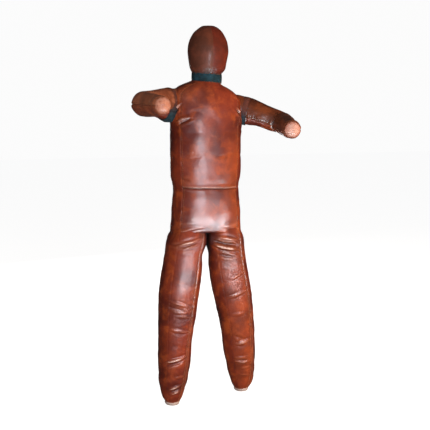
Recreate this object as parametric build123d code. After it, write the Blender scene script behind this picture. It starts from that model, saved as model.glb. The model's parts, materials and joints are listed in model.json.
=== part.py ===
from build123d import *
import math
import os

# ---------------------------------------------------------------------------
# A stuffed leather grappling mannequin, standing, facing -Y, soles on z = 0.
# The mannequin's right side is at -X. All sizes are in millimetres.
# The figure's whole box is centred on the origin in X and Y.
# ---------------------------------------------------------------------------

# Driving dimensions
HEIGHT = 1690.0            # crown to sole
TRUNK = Vector(-12.0, 125.0, 0.0)  # upright axis of the trunk, from the origin
LEATHER = 2.5              # thickness of a hide panel and of a fabric band
SEAM_ROOM = 0.3            # space between the filling and the hide
PLAY = 0.8                 # space between two bodies that move on each other
CUP_DEPTH = 0.40           # how far a socket stops short of its pivot, in radii
REACH = 420.0              # length of the space that a swinging limb needs

# Trunk: height above the floor, half width, half depth and sideways slope of
# each section. The right shoulder sits a little higher than the left one.
TRUNK_SECTIONS = [
    (720.0, 150.0, 92.0, 0.0),
    (780.0, 163.0, 103.0, 0.0),
    (870.0, 158.0, 104.0, 0.0),
    (990.0, 148.0, 101.0, 0.0),
    (1120.0, 154.0, 105.0, 0.0),
    (1260.0, 161.0, 108.0, 0.0),
    (1340.0, 160.0, 104.0, 3.0),
    (1388.0, 150.0, 94.0, 5.0),
    (1420.0, 110.0, 82.0, 5.0),
    (1444.0, 72.0, 69.0, 5.0),
]
FRONT_SEAM_X = 124.0       # the two long front seams of the trunk
WAIST_Z = 985.0            # seam and bend across the middle
WAIST_ROUND = 96.0         # radius of the chest's rounded lower end
WAIST_RANGE = (-10.0, 20.0)
FLAP_WIDTH = 62.0          # strip that covers the filling slit in the back
FLAP_Z = (1030.0, 1300.0)
FLAP_THICK = 4.0

# Head and neck
HEAD_X = 10.0              # the head sits a little to the mannequin's left
NECK_Z = 1440.0
NECK_RADIUS = 66.0
NECK_BAND_Z = (1450.0, 1486.0)
HEAD_PROFILE = [(66.0, 1486.0), (80.0, 1520.0), (89.0, 1590.0), (76.0, 1650.0), (42.0, 1682.0)]
NECK_FLARE = 0.25          # how much the head widens just above the band for each step up
NECK_RANGE = (-15.0, 20.0)

# Arms: the mannequin's own right and left, shoulder, elbow and finger end
SHOULDER_X = 122.0
SHOULDER_Z = {"right": 1352.0, "left": 1334.0}
SHOULDER_RADIUS = {"right": 71.0, "left": 65.0}
SHOULDER_CLEAR = 24.0      # how much wider the armhole opening in the trunk is
ELBOW_RADIUS = 50.0
WRIST_RADIUS = 40.0
ELBOW = {"right": (-297.0, -112.0, 1354.0), "left": (321.0, -88.0, 1271.0)}
HAND = {"right": (-266.0, -322.0, 1352.0), "left": (293.0, -300.0, 1252.0)}
BAND_FROM = 22.0           # armhole band, measured along the arm
BAND_TO = 46.0
HAND_CAP = 24.0            # depth of the sewn cap at the arm's end
SHOULDER_RANGE = (-30.0, 25.0)
ELBOW_RANGE = (-40.0, 25.0)

# Legs
HIP_X = 84.0
HIP_Z = 756.0
HIP_RADIUS = 91.0
KNEE_RADIUS = 82.0
CROTCH_GAP = 1.0           # from the middle plane to each thigh
KNEE = {"right": (-147.0, -22.0, 345.0), "left": (152.0, 20.0, 345.0)}
FOOT = {"right": (-171.0, -44.0, 0.0), "left": (180.0, 40.0, 0.0)}
FOOT_PROFILE = [(70.0, 150.0), (64.5, 103.0), (57.0, 72.0), (46.0, 36.0), (33.0, 8.0)]
LEG_SEAM_ANGLE = 36.0      # from straight ahead to each front seam of a leg
SOLE = 3.0
HIP_RANGE = (-20.0, 60.0)
KNEE_RANGE = (0.0, 70.0)

SIDES = ("right", "left")
SIGN = {"right": -1.0, "left": 1.0}
BIG = 5000.0               # larger than the whole figure, for cutting blocks
X_AXIS = Vector(1, 0, 0)
AHEAD = Vector(0, -1, 0)
UP = Vector(0, 0, 1)


# ---------------------------------------------------------------------------
# Helpers
# ---------------------------------------------------------------------------

def place(point):
    """A point given from the trunk's axis, in the figure's own frame."""
    return Vector(*point) + TRUNK


def turned(shape, pivot, axis, angle):
    return shape.rotate(Axis(pivot, axis), angle)


def save(solid, name):
    export_step(solid, f"parts/{name}.step")


def largest(shape):
    """The main solid of a cut, without loose crumbs."""
    return max(shape.solids(), key=lambda solid: solid.volume)


def lathe(profile, start, direction):
    """Turn closed profile edges, drawn as radius and height, about a limb's axis."""
    face = make_face(Plane.XZ * Curve(profile))
    round_solid = revolve(face, axis=Axis.Z)
    return Plane(origin=start, z_dir=direction).location * round_solid


def quarter_ball(radius):
    """Profile of the round end about a pivot, from the axis out to the widest ring."""
    slant = radius * math.sqrt(0.5)
    return ThreePointArc((0, -radius), (slant, -slant), (radius, 0))


def limb(start, end, start_radius, end_radius, inset, round_end=False):
    """Tapered tube that begins with a ball about its pivot."""
    first = start_radius - inset
    last = end_radius - inset
    length = (end - start).length
    edges = [quarter_ball(first), Line((first, 0), (last, length))]
    if round_end:
        slant = last * math.sqrt(0.5)
        edges.append(ThreePointArc((last, length), (slant, length + slant), (0, length + last)))
        edges.append(Line((0, length + last), (0, -first)))
    else:
        edges.append(Line((last, length), (0, length)))
        edges.append(Line((0, length), (0, -first)))
    return lathe(edges, start, end - start)


def post(start, direction, radius, length):
    """Plain round bar that starts at a point and runs one way."""
    bar = Cylinder(radius, length, align=(Align.CENTER, Align.CENTER, Align.MIN))
    return Plane(origin=start, z_dir=direction).location * bar


def swing_room(pivot, axis, direction, radius, span):
    """Cutters for all the space that a round limb sweeps about its pivot."""
    way = direction.normalized()
    across = (axis - way * axis.dot(way)).normalized()
    corners = [
        pivot - axis * radius,
        pivot + axis * radius,
        pivot + way * REACH + across * radius,
        pivot + way * REACH - across * radius,
    ]
    sheet = turned(Face(Wire.make_polygon(corners)), pivot, axis, span[0])
    fan = revolve(sheet, axis=Axis(pivot, axis), revolution_arc=span[1] - span[0])
    bars = [turned(post(pivot, way, radius, REACH), pivot, axis, angle) for angle in span]
    ball = Plane(origin=pivot, z_dir=way).location * Sphere(radius)
    return [ball, fan, *bars]


def wedge(start, direction, half_angle):
    """Slice of space in front of a limb, as wide as its front panel."""
    down = direction.normalized()
    ahead = (AHEAD - down * AHEAD.dot(down)).normalized()
    aside = down.cross(ahead)
    width = math.tan(math.radians(half_angle)) * BIG
    corners = [start, start + ahead * BIG + aside * width, start + ahead * BIG - aside * width]
    low = Face(Wire.make_polygon([point - down * BIG for point in corners]))
    return extrude(low, amount=2 * BIG, dir=down)


def half_space(point, outward):
    """Block that fills one side of a plane."""
    block = Box(BIG, BIG, BIG, align=(Align.CENTER, Align.CENTER, Align.MIN))
    return Plane(origin=point, z_dir=outward).location * block


# ---------------------------------------------------------------------------
# Joints
# ---------------------------------------------------------------------------

waist = place((0, 0, WAIST_Z))
neck = place((HEAD_X, 0, NECK_Z))
shoulder = {side: place((SIGN[side] * SHOULDER_X, 0, SHOULDER_Z[side])) for side in SIDES}
elbow = {side: place(ELBOW[side]) for side in SIDES}
hand = {side: place(HAND[side]) for side in SIDES}
hip = {side: place((SIGN[side] * HIP_X, 0, HIP_Z)) for side in SIDES}
knee = {side: place(KNEE[side]) for side in SIDES}
foot = {side: place(FOOT[side]) for side in SIDES}


def lift_axis(side):
    """Level axis across the upper arm: a positive turn raises the elbow."""
    arm = elbow[side] - shoulder[side]
    return Vector(arm.X, arm.Y, 0).cross(UP).normalized()


def fold_axis(side):
    """Axis across the elbow: a positive turn folds the forearm further."""
    return (elbow[side] - shoulder[side]).cross(hand[side] - elbow[side]).normalized()


# ---------------------------------------------------------------------------
# Trunk
# ---------------------------------------------------------------------------

def trunk_form(inset):
    """Outer form of chest and pelvis in one, drawn in by the inset."""
    rings = []
    for height, half_width, half_depth, slope in TRUNK_SECTIONS:
        level = Plane(origin=place((0, 0, height))).rotated((0, slope, 0))
        rings.append(level * Ellipse(half_width - inset, half_depth - inset))
    return loft(rings)


def chest_limits():
    """Everything above the waist, with a rounded lower end to turn on."""
    above = half_space(waist, UP)
    roll = Plane(origin=waist, z_dir=X_AXIS).location * Cylinder(WAIST_ROUND, BIG)
    return above + roll


def pelvis_cutters():
    roll = Plane(origin=waist, z_dir=X_AXIS).location * Cylinder(WAIST_ROUND + PLAY, BIG)
    cutters = [
        half_space(waist - UP * CUP_DEPTH * WAIST_ROUND, UP),
        half_space(hip["left"] + UP * CUP_DEPTH * HIP_RADIUS, -UP),
        roll,
    ]
    for side in SIDES:
        leg = knee[side] - hip[side]
        cutters += swing_room(hip[side], -X_AXIS, leg, HIP_RADIUS + PLAY, HIP_RANGE)
    return cutters


def chest_cutters():
    cutters = [half_space(neck - UP * CUP_DEPTH * NECK_RADIUS, UP)]
    cutters += swing_room(neck, X_AXIS, UP, NECK_RADIUS + PLAY, NECK_RANGE)
    for side in SIDES:
        arm = elbow[side] - shoulder[side]
        radius = SHOULDER_RADIUS[side]
        outward = X_AXIS * SIGN[side]
        mouth = shoulder[side] - outward * CUP_DEPTH * radius
        cutters.append(post(mouth, outward, radius + SHOULDER_CLEAR, REACH))
        cutters += swing_room(shoulder[side], lift_axis(side), arm, radius + PLAY, SHOULDER_RANGE)
    return cutters


def cut_all(solid, cutters):
    for cutter in cutters:
        solid = solid - cutter
    return solid


def front_strip():
    """Upright slab that the trunk's front panel fills."""
    slab = Box(2 * FRONT_SEAM_X, BIG, 2 * BIG, align=(Align.CENTER, Align.MAX, Align.CENTER))
    return Pos(*place((0, 0, 0))) * slab


def side_block(side):
    sign = SIGN[side]
    return half_space(place((sign * FRONT_SEAM_X, 0, 0)), X_AXIS * sign)


def back_block(side):
    """The half of the back from the middle seam to the side seam."""
    sign = SIGN[side]
    corner = Align.MIN if sign > 0 else Align.MAX
    slab = Box(FRONT_SEAM_X, BIG, 2 * BIG, align=(corner, Align.MIN, Align.CENTER))
    return Pos(*place((0, 0, 0))) * slab


def make_trunk():
    skin = trunk_form(0) - trunk_form(LEATHER)
    stuffing = trunk_form(LEATHER + SEAM_ROOM)
    for part, shape_in in (("pelvis", None), ("chest", chest_limits())):
        cutters = pelvis_cutters() if part == "pelvis" else chest_cutters()
        hide = skin & shape_in if shape_in else skin
        core = stuffing & shape_in if shape_in else stuffing
        hide = cut_all(hide, cutters)
        save(largest(cut_all(core, cutters)), f"{part}_filling")
        save(largest(hide & front_strip()), f"{part}_front_panel")
        for side in SIDES:
            save(largest(hide & side_block(side)), f"{part}_side_panel_{side}")
            save(largest(hide & back_block(side)), f"{part}_back_panel_{side}")


def make_back_flap():
    """Leather strip sewn over the slit that the filling goes in by."""
    low, high = FLAP_Z
    proud = trunk_form(-FLAP_THICK) - trunk_form(0)
    strip = Box(FLAP_WIDTH, BIG, high - low, align=(Align.CENTER, Align.MIN, Align.MIN))
    save(largest(proud & (Pos(*place((0, 0, low))) * strip)), "back_closing_flap")


# ---------------------------------------------------------------------------
# Head
# ---------------------------------------------------------------------------

def head_form(inset):
    """Egg-shaped head on a short neck that ends in a ball."""
    ball = NECK_RADIUS - inset
    crown = HEIGHT - inset - NECK_Z
    points = [(radius - inset, height - NECK_Z) for radius, height in HEAD_PROFILE]
    edges = [
        quarter_ball(ball),
        Line((ball, 0), points[0]),
        Spline(*points, (0, crown), tangents=[(NECK_FLARE, 1), (-1, 0)]),
        Line((0, crown), (0, -ball)),
    ]
    return lathe(edges, neck, UP)


def make_head():
    skin = head_form(0) - head_form(LEATHER)
    low, high = NECK_BAND_Z
    above_band = half_space(place((0, 0, high)), UP)
    save(largest(head_form(LEATHER + SEAM_ROOM)), "head_filling")
    for side in SIDES:
        half = half_space(neck, X_AXIS * SIGN[side])
        save(largest(skin & above_band & half), f"head_panel_{side}")
    band = Box(BIG, BIG, high - low, align=(Align.CENTER, Align.CENTER, Align.MIN))
    save(largest(skin & (Pos(*place((0, 0, low))) * band)), "neck_band")


# ---------------------------------------------------------------------------
# Arms
# ---------------------------------------------------------------------------

def across_up(along):
    """The direction across a limb that points most nearly up."""
    return (UP - along * along.Z).normalized()


def make_upper_arm(side):
    start, end = shoulder[side], elbow[side]
    along = (end - start).normalized()
    rim = end - along * CUP_DEPTH * ELBOW_RADIUS
    cutters = [half_space(rim, along)]
    cutters += swing_room(end, fold_axis(side), hand[side] - end, ELBOW_RADIUS + PLAY, ELBOW_RANGE)

    def form(inset):
        return limb(start, end, SHOULDER_RADIUS[side], ELBOW_RADIUS, inset)

    skin = cut_all(form(0) - form(LEATHER), cutters)
    save(largest(cut_all(form(LEATHER + SEAM_ROOM), cutters)), f"upper_arm_filling_{side}")
    band = post(start + along * BAND_FROM, along, BIG / 2, BAND_TO - BAND_FROM)
    save(largest(skin & band), f"armhole_band_{side}")
    sleeve = skin & half_space(start + along * BAND_TO, along)
    for name, way in (("top", 1), ("under", -1)):
        up = across_up(along) * way
        save(largest(sleeve & half_space(start, up)), f"upper_arm_{name}_panel_{side}")


def make_forearm(side):
    start, end = elbow[side], hand[side]
    along = (end - start).normalized()
    core = limb(start, end, ELBOW_RADIUS, WRIST_RADIUS, LEATHER + SEAM_ROOM, round_end=True)
    skin = limb(start, end, ELBOW_RADIUS, WRIST_RADIUS, 0, round_end=True)
    skin = skin - limb(start, end, ELBOW_RADIUS, WRIST_RADIUS, LEATHER, round_end=True)
    cap_from = end + along * (WRIST_RADIUS - HAND_CAP)
    save(largest(core), f"forearm_filling_{side}")
    save(largest(skin & half_space(cap_from, along)), f"hand_cap_{side}")
    sleeve = skin & half_space(cap_from, -along)
    for name, way in (("top", 1), ("under", -1)):
        up = across_up(along) * way
        save(largest(sleeve & half_space(start, up)), f"forearm_{name}_panel_{side}")


# ---------------------------------------------------------------------------
# Legs
# ---------------------------------------------------------------------------

def save_leg_panels(skin, start, along, name, side):
    front = wedge(start, along, LEG_SEAM_ANGLE)
    save(largest(skin & front), f"{name}_front_panel_{side}")
    save(largest(skin - front), f"{name}_back_panel_{side}")


def make_thigh(side):
    start, end = hip[side], knee[side]
    along = (end - start).normalized()
    rim = end - along * CUP_DEPTH * KNEE_RADIUS
    middle = place((SIGN[side] * CROTCH_GAP, 0, 0))
    cutters = [half_space(rim, along)]
    cutters += swing_room(end, X_AXIS, foot[side] - end, KNEE_RADIUS + PLAY, KNEE_RANGE)

    def form(inset):
        tube = limb(start, end, HIP_RADIUS, KNEE_RADIUS, inset)
        outward = X_AXIS * SIGN[side]
        return tube - half_space(middle + outward * inset, -outward)

    save(largest(cut_all(form(LEATHER + SEAM_ROOM), cutters)), f"thigh_filling_{side}")
    skin = cut_all(form(0) - form(LEATHER), cutters)
    save_leg_panels(skin, start, along, "thigh", side)


def shin_form(side, inset):
    """Lower leg: a ball at the knee and a foot that tapers to a flat end."""
    start, end = knee[side], foot[side]
    length = (end - start).length
    ball = KNEE_RADIUS - inset
    points = [(radius - inset, length - height) for radius, height in FOOT_PROFILE]
    tip_radius = points[-1][0]
    edges = [
        quarter_ball(ball),
        Line((ball, 0), points[0]),
        Spline(*points),
        Line(points[-1], (tip_radius, length + SOLE)),
        Line((tip_radius, length + SOLE), (0, length + SOLE)),
        Line((0, length + SOLE), (0, -ball)),
    ]
    return lathe(edges, start, end - start)


def make_shin(side):
    start, end = knee[side], foot[side]
    floor = half_space(Vector(0, 0, 0), -UP)
    sole_top = half_space(UP * SOLE, -UP)
    core = shin_form(side, LEATHER + SEAM_ROOM) - sole_top
    skin = shin_form(side, 0) - shin_form(side, LEATHER) - sole_top
    save(largest(core), f"shin_filling_{side}")
    save(largest((shin_form(side, 0) & sole_top) - floor), f"sole_patch_{side}")
    save_leg_panels(skin, start, end - start, "shin", side)


os.makedirs("parts", exist_ok=True)
make_trunk()
make_back_flap()
make_head()
for side in SIDES:
    make_upper_arm(side)
    make_forearm(side)
    make_thigh(side)
    make_shin(side)
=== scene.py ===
import copy
import json
import math

import bpy
import numpy as np
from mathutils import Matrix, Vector


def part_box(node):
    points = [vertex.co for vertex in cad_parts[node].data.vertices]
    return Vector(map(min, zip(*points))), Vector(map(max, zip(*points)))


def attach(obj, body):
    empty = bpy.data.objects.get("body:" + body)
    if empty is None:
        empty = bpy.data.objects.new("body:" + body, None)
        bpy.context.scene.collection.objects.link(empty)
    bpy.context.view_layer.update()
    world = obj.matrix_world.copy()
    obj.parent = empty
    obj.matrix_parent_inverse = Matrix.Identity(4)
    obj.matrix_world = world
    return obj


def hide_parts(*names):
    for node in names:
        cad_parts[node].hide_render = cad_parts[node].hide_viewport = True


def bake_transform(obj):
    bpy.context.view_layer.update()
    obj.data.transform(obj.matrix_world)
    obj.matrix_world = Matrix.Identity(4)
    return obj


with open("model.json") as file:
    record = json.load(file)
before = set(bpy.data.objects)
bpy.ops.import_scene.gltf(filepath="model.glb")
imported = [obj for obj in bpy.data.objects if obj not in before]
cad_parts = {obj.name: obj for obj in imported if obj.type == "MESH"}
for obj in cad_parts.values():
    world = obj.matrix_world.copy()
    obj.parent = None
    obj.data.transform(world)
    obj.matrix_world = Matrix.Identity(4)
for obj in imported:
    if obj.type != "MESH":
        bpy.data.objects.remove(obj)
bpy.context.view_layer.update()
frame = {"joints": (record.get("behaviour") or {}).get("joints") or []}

# Places, in metres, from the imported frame. The mannequin faces -Y and its own
# right side is at -X.

JOINT = {joint["name"]: np.array(joint["pos_m"], float) for joint in frame["joints"]}
SIDES = ("right", "left")
SIGN = {"right": -1.0, "left": 1.0}
UP = np.array([0.0, 0.0, 1.0])
AHEAD = np.array([0.0, -1.0, 0.0])

TRUNK = np.array([JOINT["waist_bend"][0], JOINT["waist_bend"][1], 0.0])
WAIST_Z = JOINT["waist_bend"][2]
NECK = JOINT["neck_nod"]
BAND_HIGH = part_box("neck_band")[1].z


def box_middle(node):
    low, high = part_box(node)
    return np.array([(low[i] + high[i]) / 2 for i in range(3)])


# Small maths

def unit(v):
    return v / np.maximum(np.linalg.norm(v, axis=-1, keepdims=True), 1e-12)


def ease(x, low=0.0, high=1.0):
    """Smooth step from 0 at low to 1 at high."""
    t = np.clip((x - low) / (high - low), 0.0, 1.0)
    return t * t * (3 - 2 * t)


def bump(distance, width):
    """Bell that is 1 at no distance."""
    return np.exp(-((distance / width) ** 2))


def wrap(turn):
    """The same angle between -180 and 180 degrees."""
    return (turn + 180.0) % 360.0 - 180.0


def sine(degrees):
    return np.sin(np.radians(degrees))


def cosine(degrees):
    return np.cos(np.radians(degrees))


def smooth(knots, values, at):
    """Smooth curve through values at rising knots."""
    knots = np.asarray(knots, float)
    values = np.asarray(values, float)
    at = np.asarray(at, float)
    gaps = np.diff(knots)
    shape = (-1,) + (1,) * (values.ndim - 1)
    slopes = np.diff(values, axis=0) / gaps.reshape(shape)
    tangents = np.empty_like(values)
    tangents[0], tangents[-1] = slopes[0], slopes[-1]
    weight = (gaps[1:] / (gaps[1:] + gaps[:-1])).reshape(shape)
    tangents[1:-1] = slopes[:-1] * weight + slopes[1:] * (1 - weight)
    cell = np.clip(np.searchsorted(knots, at, side="right") - 1, 0, len(gaps) - 1)
    t = ((at - knots[cell]) / gaps[cell]).reshape((-1,) + (1,) * (values.ndim - 1))
    gap = gaps[cell].reshape(t.shape)
    return ((2 * t**3 - 3 * t**2 + 1) * values[cell]
            + (t**3 - 2 * t**2 + t) * gap * tangents[cell]
            + (3 * t**2 - 2 * t**3) * values[cell + 1]
            + (t**3 - t**2) * gap * tangents[cell + 1])


def profile(table, at):
    """Smooth curve through a table whose first column is the place along."""
    values = np.array([line[1:] for line in table], float)
    return smooth([line[0] for line in table], values[:, 0] if values.shape[1] == 1 else values, at)


def read_off(at, places, values):
    """Each column of values, known at some places along, read off at others."""
    return np.stack([np.interp(at, places, line) for line in values.T], axis=1)


def lattice(cells, seed):
    """A repeatable number from -1 to 1 for each cell of space."""
    mixed = (cells[..., 0] * 73856093) ^ (cells[..., 1] * 19349663) ^ (cells[..., 2] * 83492791)
    mixed = (mixed + seed * 1013904223) & 0xFFFFFFFF
    mixed = ((mixed ^ (mixed >> 15)) * 2246822519) & 0xFFFFFFFF
    mixed = ((mixed ^ (mixed >> 13)) * 3266489917) & 0xFFFFFFFF
    return (mixed ^ (mixed >> 16)) / 2147483647.5 - 1.0


def noise(points, scale, seed):
    """Soft value noise at points, with cells of 1 / scale metres."""
    p = points * scale + 100.0
    base = np.floor(p).astype(np.int64)
    part = p - base
    blend = part * part * (3 - 2 * part)
    total = 0.0
    for corner in np.ndindex(2, 2, 2):
        weight = 1.0
        for axis in range(3):
            weight = weight * (blend[..., axis] if corner[axis] else 1 - blend[..., axis])
        total = total + weight * lattice(base + np.array(corner), seed)
    return total


def spread(breaks, step, fine, near):
    """Rising positions that hit every break, closer together beside each one."""
    out = [breaks[0]]
    for low, high in zip(breaks[:-1], breaks[1:]):
        edge = [x for x in np.arange(fine, near, fine) if x < (high - low) * 0.4]
        start, stop = low + (edge[-1] if edge else 0), high - (edge[-1] if edge else 0)
        count = max(2, int(math.ceil((stop - start) / step)) + 1)
        inner = list(np.linspace(start, stop, count))
        out += [low + x for x in edge[:-1]] + inner + [high - x for x in reversed(edge[:-1])]
        if inner[-1] < high - 1e-9:
            out.append(high)
    return np.array(sorted(set(np.round(out, 7))))


# Stuffed forms: a grid of points round a centre line

class Form:
    """A tube of hide: rows run along it and columns run round it."""

    def __init__(self, centre, first, second, reach, angles, along):
        self.angles = angles
        self.along = along
        around = np.radians(angles)[None, :, None]
        ray = np.cos(around) * first[:, None, :] + np.sin(around) * second[:, None, :]
        self.points = centre[:, None, :] + ray * reach[:, :, None]
        self.ray = ray
        self.reach = reach
        # Two masks painted into the colour: painted shade in creases, hollows and between parts, with dark
        # seam lines; and wear with painted highlights on lips, crests and seam edges
        self.dark = np.zeros(reach.shape)
        self.worn = np.zeros(reach.shape)
        self.find_normals()

    @classmethod
    def upright(cls, centre, reach, angles, z):
        """A tube whose first column faces ahead and whose rows lie level."""
        count = len(z)
        return cls(centre, np.tile(AHEAD, (count, 1)), np.tile([1.0, 0, 0], (count, 1)), reach, angles, z)

    def find_normals(self):
        grid = self.points
        down = np.gradient(grid, axis=0)
        closed = np.concatenate([grid[:, -1:], grid, grid[:, :1]], axis=1)
        across = closed[:, 2:] - closed[:, :-2]
        normal = unit(np.cross(across, down))
        facing = np.sum(normal * self.ray, axis=2, keepdims=True)
        flip = np.sign(np.median(facing)) or 1.0
        self.normals = normal * flip

    def raise_by(self, height):
        """Move every point out along its normal."""
        self.points = self.points + self.normals * height[:, :, None]
        self.find_normals()

    def across_from(self, angle):
        """Distance round the tube from a line at one angle, with its sign."""
        return np.radians(wrap(self.angles - angle))[None, :] * self.reach

    def fold(self, start, end, depth, width, lift=0.55):
        """A crease between two (angle, along) places, with a raised lip each side, painted shade in its
        valley and a painted highlight on its lips.
        """
        x = self.across_from(start[0])
        y = (self.along - start[1])[:, None] + 0 * x
        middle = np.argmin(np.abs(self.along - (start[1] + end[1]) / 2))
        turn = math.radians(wrap(end[0] - start[0]))
        way = np.array([turn * float(np.mean(self.reach[middle])), end[1] - start[1]])
        length = float(np.hypot(*way))
        way = way / length
        run = x * way[0] + y * way[1]
        off = x * way[1] - y * way[0]
        share = np.clip(run / length, 0.0, 1.0)
        past = np.maximum(np.maximum(-run, run - length), 0.0)
        taper = np.sqrt(np.clip(1 - (2 * share - 1) ** 2, 0.0, 1.0)) * bump(past, width * 2)
        near = np.abs(x) < 0.24
        bow = math.sin(start[0] * 1.7 + start[1] * 90.0)
        off = off - 0.16 * bow * length * share * (1 - share)
        wide = width * (0.45 + 2.4 * share * (1 - share))
        valley = bump(off, wide) * taper * near
        lips = (bump(off - 2.0 * wide, 1.1 * wide) + bump(off + 2.0 * wide, 1.1 * wide)) * taper * near
        # Painted shade in the valley and a painted highlight on the lips
        self.dark += 0.5 * valley * min(1.0, depth / 0.004)
        self.worn += 0.45 * lips * min(1.0, depth / 0.004)
        return depth * (lift * lips - valley)

    def ridge(self, start, end, height, width):
        """A raised pleat between two (angle, along) places, hollow on both sides, with painted shade in the
        hollows and a painted highlight on the crest.
        """
        dark, worn = self.dark.copy(), self.worn.copy()
        shape = self.fold(start, end, 1.0, width, lift=0.5)
        crest = np.clip(-shape, 0.0, 1.0)
        hollow = np.clip(shape, 0.0, 1.0)
        # Painted shade in the hollows and a painted highlight on the crest
        self.dark = dark + 0.55 * hollow
        self.worn = worn + crest ** 1.5 * min(1.0, height / 0.004)
        return -height * shape

    def creases(self, folds, ridges=()):
        """Height of all the creases and raised pleats in two tables."""
        return sum(self.fold(*line) for line in folds) + sum(self.ridge(*line) for line in ridges)

    def long_seam(self, angle, depth=0.0024, width=0.003, pucker=0.001, dark=0.42, line=0.55, seed=1):
        """A seam that runs along the tube, with small puckers beside it, a dark seam line with painted shade
        round it and a painted highlight on the lip beside it.
        """
        off = self.across_from(angle)
        away = np.abs(off)
        patchy = 0.55 + 0.45 * noise(self.points, 12.0, seed + 3)
        # Dark seam line with painted shade round the groove, and a painted highlight on the lip beside it
        self.dark += dark * bump(away, width * 0.8) + 0.18 * dark * bump(away, 0.016)
        self.worn += line * patchy * bump(away - 1.5 * width, 0.7 * width)
        drift = noise(self.points, 9.0, seed) * 2.5
        wave = np.sin(self.along[:, None] * 2 * math.pi / 0.021 + drift * 2.2)
        strength = 0.5 + 0.5 * noise(self.points, 14.0, seed + 7)
        fade = np.exp(-away / 0.016) * ease(away, 0.0, 0.004)
        swell = 0.4 * depth * bump(away - 0.011, 0.007)
        return pucker * wave * strength * fade - depth * bump(away, width) + swell

    def ring(self, number):
        """Points and normals of one row, back to where it starts."""
        around = [*range(len(self.angles)), 0]
        return self.points[number, around], self.normals[number, around]

    def close_end(self, direction):
        """Smooth shading over the pole that the last row makes."""
        self.normals[-1] = direction


def add_attribute(mesh, name, kind, values):
    attribute = mesh.attributes.new(name, kind, "POINT")
    key = "vector" if kind == "FLOAT_VECTOR" else "value"
    attribute.data.foreach_set(key, np.asarray(values, np.float32).ravel())


def make_mesh(name, points, faces, material, normals=None, masks=None):
    """One object from points and faces, with what its material reads."""
    mesh = bpy.data.meshes.new(name)
    mesh.from_pydata([tuple(p) for p in points], [], faces)
    mesh.update()
    mesh.polygons.foreach_set("use_smooth", np.ones(len(mesh.polygons), bool))
    add_attribute(mesh, "rest", "FLOAT_VECTOR", points)
    for key in ("dark", "worn"):
        values = masks[key] if masks else np.zeros(len(points))
        add_attribute(mesh, key, "FLOAT", np.clip(values, 0.0, 1.5))
    if normals is not None:
        mesh.normals_split_custom_set_from_vertices([tuple(n) for n in normals])
    mesh.materials.append(material)
    piece = bpy.data.objects.new(name, mesh)
    bpy.context.scene.collection.objects.link(piece)
    return piece


def grid_faces(rows, cols, start=0, closed=False, flip=False):
    wide = cols if closed else cols - 1
    faces = []
    for i in range(rows - 1):
        for j in range(wide):
            k = (j + 1) % cols
            quad = (start + i * cols + j, start + i * cols + k,
                    start + (i + 1) * cols + k, start + (i + 1) * cols + j)
            faces.append(tuple(reversed(quad)) if flip else quad)
    return faces


def rim_faces(outer, inner, flip):
    """Join two matching closed rings of vertex numbers."""
    pairs = zip(outer, outer[1:] + outer[:1], inner[1:] + inner[:1], inner)
    return [(a, d, c, b) if flip else (a, b, c, d) for a, b, c, d in pairs]


def tube_faces(rows, cols):
    """Faces of a tube made of rings, shut at both ends."""
    ends = [tuple(reversed(range(cols))), tuple((rows - 1) * cols + j for j in range(cols))]
    return grid_faces(rows, cols, closed=True) + ends


HIDE_THICK = 0.0025


def panel(name, form, material, rows=None, columns=None, thick=HIDE_THICK):
    """A closed piece of hide cut from a form: its face, its back and its edges."""
    low, high = rows or (0, len(form.along) - 1)
    total = len(form.angles)
    closed = columns is None
    first, last = columns or (0, total - 1)
    last += total * (last <= first)
    col_ids = [c % total for c in range(first, last + 1)]
    pick = np.ix_(range(low, high + 1), col_ids)
    face, normal = (values[pick].reshape(-1, 3) for values in (form.points, form.normals))
    count, tall, wide = len(face), high + 1 - low, len(col_ids)
    points = np.concatenate([face, face - normal * thick])
    flip = float(np.dot(np.cross(points[1] - points[0], points[wide] - points[0]), normal[0])) < 0
    faces = grid_faces(tall, wide, 0, closed, flip) + grid_faces(tall, wide, count, closed, not flip)
    top, bottom = list(range(wide)), [(tall - 1) * wide + j for j in range(wide)]
    if closed:
        edges = [(top, not flip), (bottom, flip)]
    else:
        right = [i * wide + wide - 1 for i in range(1, tall)]
        left = [i * wide for i in range(tall - 2, 0, -1)]
        edges = [(top + right + bottom[-2::-1] + left, not flip)]
    for ring, turned in edges:
        faces += rim_faces(ring, [v + count for v in ring], turned)
    masks = {key: np.tile(getattr(form, key)[pick].ravel(), 2) for key in ("dark", "worn")}
    return make_mesh(name, points, faces, material, np.concatenate([normal, -normal]), masks)


def column(form, angle):
    return int(np.argmin(np.abs(wrap(form.angles - angle))))


def row(form, along):
    return int(np.argmin(np.abs(form.along - along)))


# Stuffing: the hide is blown out as cloth that is held along its seams

CLOTH = {
    "quality": 5, "mass": 0.3, "tension_stiffness": 18.0, "compression_stiffness": 12.0,
    "shear_stiffness": 6.0, "bending_stiffness": 0.6, "vertex_group_mass": "pins",
    "shrink_min": -0.03, "use_pressure": True, "uniform_pressure_force": 4.0,
}
CLOTH_GAP = 0.01          # between the points that are simulated
CLOTH_FRAMES = 20
SWELL = {"trunk": 0.38, "leg": 0.2, "arm": 0.28, "head": 0.4}     # share of the swelling that is kept


def thin_out(values, keep, gap):
    """Numbers of the rows or columns to simulate: those to keep and some between."""
    picked = []
    for low, high in zip(keep[:-1], keep[1:]):
        count = max(1, int(round(abs(values[high] - values[low]) / gap)))
        picked += [int(round(i)) for i in np.linspace(low, high, count + 1)]
    return sorted(set(picked))


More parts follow.
